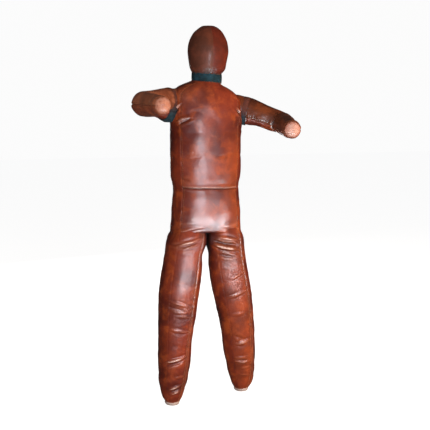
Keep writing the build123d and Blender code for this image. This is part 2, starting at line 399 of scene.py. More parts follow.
def blow_out(grid, out, held):
    """Where the points of a closed grid of cloth go under pressure, with some of them held."""
    mesh = bpy.data.meshes.new("stuffing_run")
    mesh.from_pydata([tuple(p) for p in grid.reshape(-1, 3)], [], grid_faces(*grid.shape[:2], closed=True))
    mesh.update()
    outward = out.reshape(-1, 3)
    if sum(p.normal.dot(Vector(outward[p.vertices[0]])) for p in mesh.polygons) < 0:
        mesh.flip_normals()
    run = bpy.data.objects.new("stuffing_run", mesh)
    scene = bpy.context.scene
    scene.collection.objects.link(run)
    run.vertex_groups.new(name="pins").add(held, 1.0, "REPLACE")
    cloth = run.modifiers.new("cloth", "CLOTH")
    for name, value in CLOTH.items():
        setattr(cloth.settings, name, value)
    cloth.settings.effector_weights.gravity = 0.0
    cloth.collision_settings.use_collision = False
    cloth.collision_settings.use_self_collision = False
    cloth.point_cache.frame_start, cloth.point_cache.frame_end = 1, CLOTH_FRAMES
    for number in range(1, CLOTH_FRAMES + 1):
        scene.frame_set(number)
    result = run.evaluated_get(bpy.context.evaluated_depsgraph_get())
    moved = np.empty(grid.size, np.float32)
    result.to_mesh().vertices.foreach_get("co", moved)
    result.to_mesh_clear()
    scene.frame_set(1)
    bpy.data.objects.remove(run)
    bpy.data.meshes.remove(mesh)
    return moved.reshape(grid.shape)


def stuffed(form, seams, holds=(), cap=0.0055):
    """How far the hide stands out from its form when it is stuffed, as a height for every point."""
    count, length = len(form.angles), len(form.along)
    held_cols = {column(form, seam) for seam in seams}
    held_rows = {0, length - 1, *holds}
    angles = np.append(form.angles, form.angles[0] + 360.0)
    turn_gap = math.degrees(CLOTH_GAP / float(np.median(form.reach)))
    cols = thin_out(angles, sorted({0, *held_cols, count}), turn_gap)[:-1]
    rows = thin_out(form.along, sorted(held_rows), CLOTH_GAP)
    grid, out = (values[np.ix_(rows, cols)] for values in (form.points, form.normals))
    held = [i * len(cols) + j for i, r in enumerate(rows) for j, c in enumerate(cols)
            if r in held_rows or c in held_cols]
    rise = np.sum((blow_out(grid, out, held) - grid) * out, axis=2)
    rise = cap * np.tanh((rise - np.median(rise)) / cap)
    wrapped = np.concatenate([rise, rise[:, :1]], axis=1)
    across = read_off(np.arange(count), cols + [count], wrapped.T).T
    return read_off(np.arange(length), rows, across)


# Sewing

STITCH_GAP = 0.14          # bare share of the pitch at each end of a stitch
# Rings of one stitch: share of its length, share of its thickness, height in thread radii
STITCH = ((-0.02, 0.35, -1.0), (0.12, 0.9, 0.15), (0.5, 1.0, 0.45), (0.88, 0.9, 0.15), (1.02, 0.35, -1.0))


def thread_bar(start, end, out, radius, sides=6):
    """Points and faces of one stitch: a short bar whose ends dip into the hide."""
    way = unit(end - start)
    side = unit(np.cross(way, out))
    lift = np.cross(side, way)
    length = np.linalg.norm(end - start)
    turns = 2 * math.pi * np.arange(sides)[:, None] / sides
    ring = np.cos(turns) * side + np.sin(turns) * lift
    rings = [start + way * length * share + lift * radius * height + radius * size * ring
             for share, size, height in STITCH]
    return list(np.concatenate(rings)), tube_faces(len(STITCH), sides)


def sew(name, lines, material, pitch=0.0085, radius=0.0009):
    """One object of stitches along lines of (points, normals)."""
    points, faces = [], []
    for line, normals in lines:
        steps = np.linalg.norm(np.diff(line, axis=0), axis=1)
        run = np.concatenate([[0.0], np.cumsum(steps)])
        marks = np.linspace(0, run[-1], max(2, int(run[-1] / pitch)) + 1)
        spots, outs = read_off(marks, run, line), read_off(marks, run, normals)
        for start, end, out in zip(spots[:-1], spots[1:], unit(outs)):
            gap = (end - start) * STITCH_GAP
            bar, bar_faces = thread_bar(start + gap, end - gap, out, radius)
            faces += [tuple(len(points) + v for v in face) for face in bar_faces]
            points += bar
    return make_mesh(name, np.array(points), faces, material)


def beside(form, angle, offset, low, high):
    """The line on a form that keeps one distance from a long seam."""
    first, count = form.angles[0], len(form.angles)
    line, normals = [], []
    for i in range(low, high + 1):
        turn = angle + math.degrees(offset / form.reach[i].mean())
        turn = first + (turn - first) % 360.0
        spot = int(np.searchsorted(form.angles, turn, side="right"))
        before = spot - 1
        after = spot % count
        gap = (form.angles[after] - form.angles[before]) % 360.0
        share = (turn - form.angles[before]) / gap
        line.append(form.points[i, before] * (1 - share) + form.points[i, after] * share)
        normals.append(form.normals[i, before] * (1 - share) + form.normals[i, after] * share)
    return np.array(line), unit(np.array(normals))


# Materials

class Nodes:
    """Short calls for building one node material."""

    def __init__(self, name):
        self.material = bpy.data.materials.new(name)
        self.material.use_nodes = True
        self.tree = self.material.node_tree
        self.shader = self.tree.nodes["Principled BSDF"]

    def add(self, kind, inputs=None, **settings):
        node = self.tree.nodes.new(kind)
        for key, value in settings.items():
            setattr(node, key, value)
        for key, value in (inputs or {}).items():
            self.feed(node.inputs[key], value)
        return node

    def feed(self, socket, value):
        """Link a socket, or set a number or a red, green, blue colour."""
        if isinstance(value, bpy.types.NodeSocket):
            self.tree.links.new(value, socket)
        else:
            socket.default_value = (*value, 1.0) if isinstance(value, tuple) else value

    def finish(self, tone, rough, normal, **uniform):
        """Join what varies to the shader, and set what doesn't on the shader itself."""
        inputs = {"Base Color": tone, "Roughness": rough, "Normal": normal, **uniform}
        for key, value in inputs.items():
            self.feed(self.shader.inputs[key.replace("_", " ")], value)
        return self.material

    def attribute(self, name):
        node = self.add("ShaderNodeAttribute", attribute_name=name)
        return node.outputs["Vector"] if name == "rest" else node.outputs["Fac"]

    def noise(self, scale, detail=4.0, rough=0.55, warp=0.0):
        node = self.add("ShaderNodeTexNoise", {"Vector": self.attribute("rest"), "Scale": scale,
                                               "Detail": detail, "Roughness": rough, "Distortion": warp})
        return node.outputs["Fac"]

    def cells(self, scale):
        node = self.add("ShaderNodeTexVoronoi", {"Vector": self.attribute("rest"), "Scale": scale},
                        feature="DISTANCE_TO_EDGE")
        return node.outputs["Distance"]

    def ramp(self, value, low, high, out_low=0.0, out_high=1.0):
        node = self.add("ShaderNodeMapRange", {
            "Value": value, "From Min": low, "From Max": high, "To Min": out_low, "To Max": out_high})
        node.interpolation_type = "SMOOTHSTEP"
        return node.outputs[0]

    def maths(self, operation, a, b):
        return self.add("ShaderNodeMath", {0: a, 1: b}, operation=operation).outputs[0]

    def times(self, a, b):
        return self.maths("MULTIPLY", a, b)

    def mix(self, share, a, b):
        inputs = {0: share, 6: a, 7: b}      # a colour mix has its colours in sockets 6 and 7
        return self.add("ShaderNodeMix", inputs, data_type="RGBA", clamp_factor=True).outputs[2]

    def bumps(self, height, strength, distance, normal=None):
        node = self.add("ShaderNodeBump", {"Height": height, "Strength": strength, "Distance": distance})
        if normal is not None:
            self.feed(node.inputs["Normal"], normal)
        return node.outputs["Normal"]


# Tints that the masks mix in: painted shade with dark seam lines, wear with painted highlights, a cracked
# finish with painted highlights, painted warm light on one side and painted shade on the other, and grain
FOLD_SHADE_AND_SEAM_DARK = (0.016, 0.004, 0.003)
RUBBED_AND_HIGHLIGHT_TINT = (0.56, 0.2, 0.1)
CRACKED_AND_HIGHLIGHT_PALE = (0.74, 0.56, 0.52)
PAINTED_WARM_LIGHT = (0.4, 0.078, 0.014)
PAINTED_SIDE_SHADE = (0.115, 0.012, 0.005)
GRAIN_DYE = (0.02, 0.005, 0.004)


def hide_material(name, deep, middle, bright, rough=0.36, gloss=0.5, pale=0.6, painted_side_light=0.0):
    """Waxed pull-up leather: cloudy dye, painted shade darkening the folds, rubbed wear and painted
    highlights on high places.
    """
    n = Nodes(name)
    clouds = n.noise(6.5, 3.0, 0.55, 0.5)
    patches = n.noise(19.0, 5.0, 0.62, 0.4)
    mottle = n.noise(85.0, 6.0, 0.7)
    tone = n.mix(n.ramp(clouds, 0.34, 0.6), deep, middle)
    tone = n.mix(n.ramp(patches, 0.44, 0.72, 0.0, 0.8), tone, bright)
    tone = n.mix(n.ramp(patches, 0.22, 0.46, 0.6, 0.0), tone, deep)
    tone = n.mix(n.ramp(mottle, 0.44, 0.72, 0.0, 0.28), tone, deep)
    # Painted shade in creases, hollows and between parts, and dark seam lines
    tone = n.mix(n.times(n.attribute("dark"), 0.8), tone, FOLD_SHADE_AND_SEAM_DARK)
    # Rubbed wear with painted highlights on lips, crests and seam edges
    rubbed_and_lit = n.times(n.attribute("worn"), n.ramp(mottle, 0.3, 0.62, 0.45, 1.0))
    tone = n.mix(n.times(rubbed_and_lit, 0.45), tone, RUBBED_AND_HIGHLIGHT_TINT)
    # Pale cracked finish with painted highlights where that mask is strongest
    cracked_and_lit = n.times(n.ramp(n.attribute("worn"), 0.55, 1.05, 0.0, pale), n.ramp(mottle, 0.32, 0.6))
    tone = n.mix(cracked_and_lit, tone, CRACKED_AND_HIGHLIGHT_PALE)
    # One side painted with warm light, fading out towards the shoulders, and the other side painted with
    # shade
    if painted_side_light:
        place = n.add("ShaderNodeSeparateXYZ", {0: n.attribute("rest")}).outputs
        warm_lit_side = n.ramp(place["X"], 0.0, 0.16, 0.0, painted_side_light)
        tone = n.mix(n.times(warm_lit_side, n.ramp(place["Z"], 1.08, 1.28, 1.0, 0.0)), tone, PAINTED_WARM_LIGHT)
        tone = n.mix(n.ramp(place["X"], -0.17, -0.03, painted_side_light, 0.0), tone, PAINTED_SIDE_SHADE)
    grain = n.cells(420.0)
    tone = n.mix(n.ramp(grain, 0.0, 0.1, 0.25, 0.0), tone, GRAIN_DYE)
    matt = n.maths("ADD", n.ramp(patches, 0.3, 0.7, rough + 0.05, rough - 0.03),
                   n.ramp(mottle, 0.3, 0.7, -0.03, 0.05))
    normal = n.bumps(n.noise(30.0, 4.0, 0.6), 0.1, 0.004)
    normal = n.bumps(n.ramp(grain, 0.0, 0.22), 0.14, 0.0005, normal)
    return n.finish(tone, matt, normal, Specular_IOR_Level=gloss, Coat_Weight=0.1, Coat_Roughness=0.22)


def cloth_material(name, base, light):
    """Close-woven cotton webbing: fine diagonal ribs and a little lint."""
    n = Nodes(name)
    weave = n.add("ShaderNodeTexWave", {
        "Vector": n.attribute("rest"), "Scale": 260.0, "Distortion": 1.2, "Detail": 1.0},
        wave_type="BANDS", bands_direction="DIAGONAL").outputs["Fac"]
    fuzz = n.noise(160.0, 4.0, 0.7)
    tone = n.mix(n.ramp(n.noise(28.0, 4.0, 0.6), 0.35, 0.7), base, light)
    tone = n.mix(n.ramp(weave, 0.1, 0.6, 0.55, 0.0), tone, (0.004, 0.01, 0.012))
    tone = n.mix(n.times(n.attribute("dark"), 0.7), tone, (0.004, 0.008, 0.01))
    soiled = n.times(n.attribute("worn"), n.ramp(fuzz, 0.3, 0.7, 0.7, 1.0))
    tone = n.mix(soiled, tone, (0.12, 0.032, 0.018))
    matt = n.ramp(fuzz, 0.3, 0.7, 0.72, 0.92)
    normal = n.bumps(fuzz, 0.25, 0.0008, n.bumps(weave, 0.5, 0.0008))
    return n.finish(tone, matt, normal, Specular_IOR_Level=0.15, Sheen_Weight=0.02, Sheen_Roughness=0.4)


def thread_material(name, base):
    """Waxed linen thread."""
    n = Nodes(name)
    twist = n.noise(900.0, 2.0, 0.5)
    tone = n.mix(n.ramp(twist, 0.3, 0.7), base, (0.1, 0.035, 0.02))
    matt = n.ramp(twist, 0.3, 0.7, 0.45, 0.7)
    return n.finish(tone, matt, n.bumps(twist, 0.3, 0.0004), Specular_IOR_Level=0.2)


HIDE = hide_material("hide_oxblood", (0.09, 0.012, 0.006), (0.205, 0.031, 0.012),
                     (0.36, 0.072, 0.02), pale=0.4, painted_side_light=0.5)
SIDE_HIDE = hide_material("hide_oxblood_side", (0.08, 0.009, 0.004), (0.18, 0.024, 0.007),
                          (0.37, 0.072, 0.016), gloss=0.36)
LEG_HIDE = hide_material("hide_oxblood_leg", (0.08, 0.012, 0.007), (0.19, 0.029, 0.013),
                         (0.3, 0.056, 0.019), rough=0.4, gloss=0.2, pale=0.85, painted_side_light=0.2)
# The right sleeve's hide is painted lighter for the light on it, the left one darker for its shade
ARM_HIDE = {
    "right": hide_material("hide_arm_right", (0.145, 0.04, 0.018), (0.285, 0.082, 0.038),
                           (0.41, 0.138, 0.07), gloss=0.35, pale=0.2),
    "left": hide_material("hide_arm_left", (0.055, 0.014, 0.006), (0.115, 0.028, 0.011),
                          (0.21, 0.05, 0.016), gloss=0.4),
}
HEAD_HIDE_RIGHT = hide_material("hide_head_brown", (0.07, 0.022, 0.012), (0.11, 0.03, 0.017),
                                (0.15, 0.04, 0.021), rough=0.52, gloss=0.22)
HEAD_HIDE_LEFT = hide_material("hide_head_red", (0.07, 0.014, 0.007), (0.115, 0.018, 0.009),
                               (0.17, 0.026, 0.01), rough=0.52, gloss=0.22)
# The left hand cap's pale pink is part worn leather, part painted highlight
CAP_HIDE = {
    "right": hide_material("hide_cap_right", (0.11, 0.024, 0.012), (0.19, 0.042, 0.02),
                           (0.27, 0.08, 0.045), gloss=0.28, pale=0.16),
    "left": hide_material("hide_cap_left", (0.22, 0.065, 0.048), (0.36, 0.14, 0.115),
                          (0.5, 0.3, 0.27), gloss=0.22, pale=0.4),
}
SOLE_HIDE = hide_material("hide_sole", (0.3, 0.22, 0.2), (0.48, 0.41, 0.39),
                          (0.62, 0.58, 0.56))
BAND_CLOTH = cloth_material("band_cloth", (0.008, 0.022, 0.03), (0.018, 0.056, 0.084))
THREAD = thread_material("waxed_thread", (0.32, 0.105, 0.036))


# What each piece stands for

def finish_piece(piece, nodes=(), body=None, bend=None):
    """Hide the parts that a piece replaces, then either fix it where it stands or hang it from its body."""
    if nodes:
        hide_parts(*nodes)
    if bend:
        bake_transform(piece)
    else:
        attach(piece, body)
    return piece


def bend_zone(low, high, middle, way, half):
    """Where a piece passes from one body to the next."""
    way = unit(np.asarray(way, float))
    return low, high, middle - way * half, middle + way * half


# Trunk

# Height above the floor, half width and half depth
TRUNK_SHAPE = [
    (0.8, 0.164, 0.0925),
    (0.83, 0.161, 0.0985),
    (0.865, 0.158, 0.104),
    (0.9, 0.155, 0.1063),
    (0.935, 0.152, 0.106),
    (0.978, 0.1475, 0.102),
    (1.035, 0.156, 0.106),
    (1.12, 0.158, 0.108),
    (1.22, 0.16, 0.109),
    (1.29, 0.161, 0.108),
    (1.34, 0.16, 0.104),
    (1.388, 0.151, 0.094),
    (1.42, 0.115, 0.083),
    (1.446, 0.067, 0.067),
]
TRUNK_SEAM = 52.0          # angle of the two front seams, either side of straight ahead
SIDE_SEAM = 98.0
TRUNK_SQUARE = 2.25        # 2 is an ellipse, more is squarer
HEM_Z = TRUNK_SHAPE[0][0]
HEM_CURL = 0.009
SHOULDER_SLOPE = math.tan(math.radians(5.0))
FLAP_SPAN = (1.03, 1.3)     # height of both ends of the strip down the back
FLAP_HALF = 0.031
TRUNK_BEND = bend_zone("pelvis", "chest", JOINT["waist_bend"], UP, 0.055)

# Creases: (angle, height) at each end, depth, half width
TRUNK_FOLDS = [
    ((-60, 1.258), (-30, 1.29), 0.0042, 0.005),
    ((-70, 1.3), (-52, 1.336), 0.005, 0.005),
    ((40, 1.336), (64, 1.3), 0.0045, 0.005),
    ((54, 1.3), (70, 1.262), 0.0045, 0.0045),
    ((-52, 1.03), (-34, 1.018), 0.0024, 0.006),
    ((-150, 1.28), (-118, 1.24), 0.004, 0.0055),
    ((150, 1.285), (116, 1.246), 0.004, 0.0055),
    ((-168, 0.846), (-120, 0.83), 0.0035, 0.007),
    ((166, 0.844), (122, 0.832), 0.0035, 0.007),
    ((-170, 1.0), (-110, 0.99), 0.0025, 0.008),
    ((172, 1.005), (112, 0.988), 0.0025, 0.008),
]
# Raised pleats, in the same terms
TRUNK_RIDGES = [
    ((-62, 1.276), (-34, 1.298), 0.0036, 0.0065),
    ((-66, 1.318), (-50, 1.35), 0.0034, 0.0055),
    ((44, 1.35), (62, 1.318), 0.0034, 0.0055),
    ((-72, 0.806), (-26, 0.818), 0.0036, 0.0075),
    ((-60, 0.842), (-30, 0.836), 0.002, 0.008),
    ((20, 0.822), (56, 0.846), 0.0034, 0.008),
    ((30, 0.812), (66, 0.822), 0.0034, 0.006),
]


def trunk_form():
    seams = [-180.0, -SIDE_SEAM, -TRUNK_SEAM, TRUNK_SEAM, SIDE_SEAM, 180.0]
    angles = spread(seams, 1.9, 0.45, 4.0)[:-1]
    heights = spread([HEM_Z, WAIST_Z, TRUNK_SHAPE[-1][0]], 0.0052, 0.0016, 0.014)
    curl = np.radians([75, 60, 45, 30, 15])
    under = np.array([0.03, 0.25, 0.5, 0.72])
    top = np.array([0.93, 0.82, 0.7])
    low_z = HEM_Z - HEM_CURL
    z = np.concatenate([low_z - 0.006 + 0 * under, HEM_Z - HEM_CURL * np.sin(curl), heights,
                        heights[-1] + 0.003 * np.arange(1, 4)])
    at = np.clip(z, HEM_Z, heights[-1])
    shape = profile(TRUNK_SHAPE, at)
    rim_in = np.concatenate([HEM_CURL + 0 * under, HEM_CURL * (1 - np.cos(curl)), 0 * heights, 0 * top])
    scale = np.concatenate([under, 1.0 + 0 * curl, 1.0 + 0 * heights, top])
    turn = np.radians(angles)[None, :]
    wide = (shape[:, :1] - rim_in[:, None]) * scale[:, None]
    deep = (shape[:, 1:] - rim_in[:, None]) * scale[:, None]
    power = 2 / TRUNK_SQUARE
    across = np.sign(np.sin(turn)) * wide * np.abs(np.sin(turn)) ** power
    onward = np.sign(np.cos(turn)) * deep * np.abs(np.cos(turn)) ** power
    centre = TRUNK + z[:, None] * UP
    form = Form.upright(centre, np.hypot(across, onward), angles, z)
    arch = np.where(turn < 0, -0.036 * np.abs(np.sin(turn)) ** 3, -0.042 * np.abs(np.sin(turn)) ** 1.8)
    arch = arch - 0.008 * (np.cos(turn) < 0) * np.cos(turn) ** 2
    lift = arch * (1 - ease(z, HEM_Z, HEM_Z + 0.1))[:, None]
    lift = lift - across * SHOULDER_SLOPE * ease(z, 1.26, 1.388)[:, None]
    form.points = np.stack([TRUNK[0] + across, TRUNK[1] - onward, z[:, None] + lift], axis=2)
    form.find_normals()
    return form


def trunk_relief(form):
    """Seams, creases and soft waves of the trunk."""
    off_waist = form.along[:, None] - (WAIST_Z + 0.002 - 0.005 * sine(form.angles)[None, :])
    front = (np.abs(form.angles) < TRUNK_SEAM + 0.01)[None, :]
    height = 0.003 * noise(form.points, 11.0, 3) + 0.0012 * noise(form.points, 31.0, 4)
    for seed, angle in enumerate((-SIDE_SEAM, SIDE_SEAM, 180.0)):
        height += form.long_seam(angle, dark=0.26, seed=11 + seed)
    for seed, angle in enumerate((-TRUNK_SEAM, TRUNK_SEAM)):
        height += form.long_seam(angle, depth=0.0007, pucker=0.0004, dark=0.14, seed=15 + seed)
    height += front * (0.0032 * bump(off_waist - 0.008, 0.007) - 0.0048 * bump(off_waist, 0.0032))
    # Dark seam line at the waist, painted shade on the panel below it and a painted highlight on the lip
    # above it
    form.dark += front * (0.9 * bump(off_waist + 0.001, 0.003) + 0.25 * bump(off_waist + 0.02, 0.02))
    form.worn += front * 0.9 * bump(off_waist - 0.006, 0.004)
    form.worn += 0.5 * bump(form.across_from(-48.0), 0.055) * bump(form.along - 1.385, 0.04)[:, None]
    height += front * 0.0012 * noise(form.points, 16.0, 21) * np.exp(-np.abs(off_waist) / 0.02)
    height += form.creases(TRUNK_FOLDS, TRUNK_RIDGES)
    # Underside of the trunk, between the legs, painted dark as shade
    form.dark += (form.along < HEM_Z - HEM_CURL - 0.001)[:, None]
    return height * ease(form.along, HEM_Z - HEM_CURL, HEM_Z)[:, None]


def make_trunk():
    form = trunk_form()
    swell = stuffed(form, (-SIDE_SEAM, -TRUNK_SEAM, TRUNK_SEAM, SIDE_SEAM, 180.0), [row(form, WAIST_Z)])
    form.raise_by(SWELL["trunk"] * swell * ease(form.along, HEM_Z, HEM_Z + 0.05)[:, None])
    form.raise_by(trunk_relief(form))
    for cut, start, stop, material, fillings in (
            ("front_panel", -TRUNK_SEAM, TRUNK_SEAM, HIDE, []),
            ("side_panel_left", TRUNK_SEAM, SIDE_SEAM, SIDE_HIDE, []),
            ("side_panel_right", -SIDE_SEAM, -TRUNK_SEAM, SIDE_HIDE, []),
            ("back_panel_left", SIDE_SEAM, 180.0, HIDE, ["chest_filling"]),
            ("back_panel_right", 180.0, -SIDE_SEAM, HIDE, ["pelvis_filling"])):
        piece = panel(f"trunk_{cut}", form, material, columns=(column(form, start), column(form, stop)))
        finish_piece(piece, [f"chest_{cut}", f"pelvis_{cut}", *fillings], bend=TRUNK_BEND)
    low, high = row(form, HEM_Z + 0.004), row(form, TRUNK_SHAPE[-1][0])
    lines = [beside(form, angle, offset, low, high)
             for angle, offset in ((-TRUNK_SEAM, 0.0075), (TRUNK_SEAM, -0.0075), (-SIDE_SEAM, -0.008),
                                   (SIDE_SEAM, 0.008), (180.0, -0.008), (180.0, 0.008))]
    waist = row(form, WAIST_Z + 0.008)
    across = range(column(form, -TRUNK_SEAM) + 8, column(form, TRUNK_SEAM) - 7)
    lines.append((form.points[waist, across], form.normals[waist, across]))
    finish_piece(sew("trunk_stitches", lines, THREAD), bend=TRUNK_BEND)
    make_flap(form)


def make_flap(form):
    """Strip of hide over the slit that the filling goes in by."""
    low, high = (row(form, height) for height in FLAP_SPAN)
    whole = len(form.angles)
    turns = [c for c in range(whole) if abs(form.across_from(180.0)[low, c]) <= FLAP_HALF]
    first = min(c for c in turns if c > whole / 2)
    last = max(c for c in turns if c < whole / 2)
    strip = copy.copy(form)
    swell = 0.0036 - 0.0006 * np.cos(form.along[:, None] / 0.02)
    strip.points = form.points + form.normals * swell[:, :, None]
    strip.dark = form.dark * 0.2
    strip.worn = form.worn * 0.2 + 0.5 * bump(np.abs(form.across_from(180.0)) - FLAP_HALF, 0.004)
    strip.find_normals()
    piece = panel("back_closing_flap_hide", strip, SIDE_HIDE, rows=(low, high), columns=(first, last),
                  thick=0.0035)
    finish_piece(piece, ["back_closing_flap"], bend=TRUNK_BEND)
    lines = [beside(strip, 180.0, offset, low + 2, high - 2) for offset in (-0.0255, 0.0255)]
    ring = [c % whole for c in range(first + 3, last + whole - 2)]
    lines += [(strip.points[i, ring], strip.normals[i, ring]) for i in (low + 2, high - 2)]
    finish_piece(sew("back_flap_stitches", lines, THREAD), bend=TRUNK_BEND)


# Legs

# Height above the floor and radius
FOOT_SHAPE = [
    (0.003, 0.03), (0.013, 0.0325), (0.036, 0.0445), (0.058, 0.0515), (0.08, 0.058), (0.103, 0.0645),
    (0.147, 0.069), (0.19, 0.0735), (0.28, 0.0785), (0.345, 0.0825),
]
LEG_SHAPE = {
    "right": FOOT_SHAPE + [(0.46, 0.0905), (0.535, 0.094), (0.6, 0.093), (0.7, 0.0915), (0.745, 0.092),
                           (0.768, 0.088), (0.79, 0.078), (0.812, 0.069), (0.832, 0.06)],
    "left": FOOT_SHAPE + [(0.46, 0.0905), (0.535, 0.0925), (0.6, 0.0912), (0.7, 0.0895), (0.745, 0.0905),
                          (0.768, 0.087), (0.79, 0.078), (0.812, 0.069), (0.832, 0.06)],
}
LEG_SEAM = 36.0            # angle of the two front seams, either side of straight ahead
LEG_SPLIT = 0.56           # height where the upper and lower pieces of a leg meet
LEG_TOP = 0.84             # height where its centre line ends
SOLE_TOP = FOOT_SHAPE[0][0]

# Creases of each leg: (angle, height) at each end, depth, half width
LEG_FOLDS = {
    "right": [
        ((-60, 0.738), (12, 0.746), 0.0036, 0.006),
        ((-44, 0.47), (14, 0.44), 0.0024, 0.007),
        ((-44, 0.194), (20, 0.218), 0.004, 0.007),
        ((-34, 0.068), (26, 0.084), 0.0036, 0.0055),
        ((100, 0.42), (160, 0.39), 0.004, 0.007),
        ((-170, 0.372), (-110, 0.35), 0.0045, 0.007),
    ],
    "left": [
        ((-46, 0.752), (26, 0.73), 0.0075, 0.0075),
        ((-44, 0.688), (14, 0.674), 0.003, 0.007),
        ((-28, 0.296), (6, 0.28), 0.0022, 0.0075),
        ((-38, 0.177), (20, 0.177), 0.003, 0.0045),
        ((-160, 0.42), (-100, 0.39), 0.004, 0.007),
        ((170, 0.372), (112, 0.35), 0.0045, 0.007),
    ],
}
# Raised pleats, in the same terms
LEG_RIDGES = {
    "right": [
        ((-46, 0.732), (30, 0.768), 0.0044, 0.006),
        ((-20, 0.724), (26, 0.742), 0.0026, 0.0045),
        ((-34, 0.706), (10, 0.714), 0.0016, 0.007),
        ((-42, 0.492), (24, 0.458), 0.0028, 0.0048),
        ((-20, 0.424), (28, 0.414), 0.002, 0.005),
        ((-34, 0.366), (34, 0.347), 0.0024, 0.0055),
        ((-44, 0.214), (33, 0.242), 0.0048, 0.0058),
        ((-38, 0.082), (30, 0.104), 0.0038, 0.0048),
        ((-26, 0.06), (28, 0.074), 0.003, 0.0042),
        ((-10, 0.142), (33, 0.148), 0.0022, 0.005),
    ],
    "left": [
        ((-35, 0.77), (30, 0.75), 0.0042, 0.0055),
        ((-50, 0.736), (32, 0.704), 0.0062, 0.0078),
        ((-28, 0.752), (8, 0.742), 0.0026, 0.0045),
        ((-12, 0.57), (33, 0.604), 0.0026, 0.0048),
        ((-33, 0.482), (33, 0.516), 0.0026, 0.0048),
        ((-30, 0.4), (16, 0.408), 0.0018, 0.006),
        ((-28, 0.254), (33, 0.276), 0.0042, 0.0064),
        ((-38, 0.19), (28, 0.192), 0.0028, 0.0038),
        ((-38, 0.168), (28, 0.168), 0.0032, 0.0038),
        ((-18, 0.134), (30, 0.14), 0.003, 0.0042),
        ((-24, 0.1), (28, 0.094), 0.0024, 0.0042),
    ],
}
# How far a leg leans out of its straight line: height, spread and sideways amount
LEG_LEAN = {"right": (0.6, 0.17, -0.01), "left": (0.1, 0.09, 0.006)}


def leg_form(side):
    sign = SIGN[side]
    hip, knee = JOINT[f"hip_swing_{side}"], JOINT[f"knee_bend_{side}"]
    foot = box_middle(f"sole_patch_{side}")
    top = hip + (hip - knee) * 0.1
    seams = [-180.0, -LEG_SEAM, LEG_SEAM, 180.0]
    angles = spread(seams, 3.2, 0.8, 7.0)[:-1]
    z = np.concatenate([[SOLE_TOP, SOLE_TOP + 0.0005],
                        spread([0.006, LEG_SPLIT, LEG_SHAPE[side][-1][0]], 0.005, 0.003, 0.01)])
    shape = profile(LEG_SHAPE[side], z)
    shape[0] = 0.02
    line = smooth([foot[2], knee[2], hip[2], LEG_TOP], [foot[:2], knee[:2], hip[:2], top[:2]], z)
    height, spread_z, aside = LEG_LEAN[side]
    line[:, 0] += aside * bump(z - height, spread_z)
    centre = np.concatenate([line, z[:, None]], axis=1)
    turn = np.radians(angles)[None, :]
    tuck = 0.13 * np.cos(turn) ** 2 * bump(z - 0.8, 0.034)[:, None]
    reach = shape[:, None] * (1 + 0.02 * np.cos(2 * turn) * ease(z, 0.1, 0.4)[:, None] + tuck)
    toe = bump(z - 0.052, 0.034)[:, None] * np.clip(np.sin(turn) * sign, 0, 1) ** 2
    reach = reach + (0.0075 if side == "left" else 0.002) * toe
    inner = np.clip(-np.sin(turn) * sign, 0, 1) ** 1.5
    reach = reach - 0.0105 * inner * bump(z - 0.68, 0.042)[:, None]
    return Form.upright(centre, reach, angles, z)


def leg_relief(form, side):
    height = 0.0026 * noise(form.points, 10.0, 31) + 0.0009 * noise(form.points * [0.5, 0.5, 1.6], 30.0, 32)
    height += form.long_seam(LEG_SEAM, depth=0.0022, dark=0.5, line=0.24, seed=41)
    height -= 0.0005 * bump(form.across_from(-LEG_SEAM), 0.002)
    strip = np.abs(form.across_from(LEG_SEAM))
    form.worn += 0.27 * bump(strip - 0.006, 0.006)
    form.dark += 0.35 * bump(strip - 0.0125, 0.0022)
    height += form.creases(LEG_FOLDS[side], LEG_RIDGES[side])
    form.worn += 0.9 * bump(form.along - 0.01, 0.01)[:, None]
    return height * ease(form.along, 0.01, 0.04)[:, None]


def keep_apart(form, side, gap=0.0006):
    """Press a leg flat where it meets the other one, and paint shade on its inner side there."""
    sign = SIGN[side]
    off = (form.points[..., 0] - TRUNK[0]) * sign
    soft = 0.006
    # Painted shade where the legs meet
    form.dark += 0.9 * bump(np.maximum(off - 0.004, 0.0), 0.01)
    off = np.where(off < gap + soft, gap + soft * np.exp(np.minimum((off - gap - soft) / soft, 0.0)), off)
    form.points[..., 0] = TRUNK[0] + sign * off
    form.find_normals()


def make_leg(side):
    hip, knee = JOINT[f"hip_swing_{side}"], JOINT[f"knee_bend_{side}"]
    form = leg_form(side)
    fade = ease(form.along, 0.015, 0.07) * (1 - ease(form.along, 0.75, 0.8))
    form.raise_by(SWELL["leg"] * stuffed(form, (LEG_SEAM, 180.0)) * fade[:, None])
    form.raise_by(leg_relief(form, side))
    keep_apart(form, side)
    split, high = row(form, LEG_SPLIT), len(form.along) - 1
    front = column(form, -LEG_SEAM), column(form, LEG_SEAM)
    for part, bone, rows, bend in (
            ("upper", "thigh", (split, high), bend_zone("pelvis", f"thigh_{side}", hip, -UP, 0.06)),
            ("lower", "shin", (0, split), bend_zone(f"thigh_{side}", f"shin_{side}", knee, -UP, 0.062))):
        piece = panel(f"leg_front_panel_{part}_{side}", form, LEG_HIDE, rows, front)
        finish_piece(piece, [f"{bone}_front_panel_{side}"], bend=bend)
        piece = panel(f"leg_back_panel_{part}_{side}", form, SIDE_HIDE, rows, front[::-1])
        nodes = [f"{bone}_back_panel_{side}", f"{bone}_filling_{side}"]
        finish_piece(piece, nodes, bend=bend)
        first, last = max(rows[0], row(form, 0.016)), min(rows[1], row(form, 0.8))
        lines = [beside(form, LEG_SEAM, offset, first, last) for offset in (-0.0095, 0.0095)]
        finish_piece(sew(f"leg_stitches_{part}_{side}", lines, THREAD), bend=bend)
    make_sole(side)


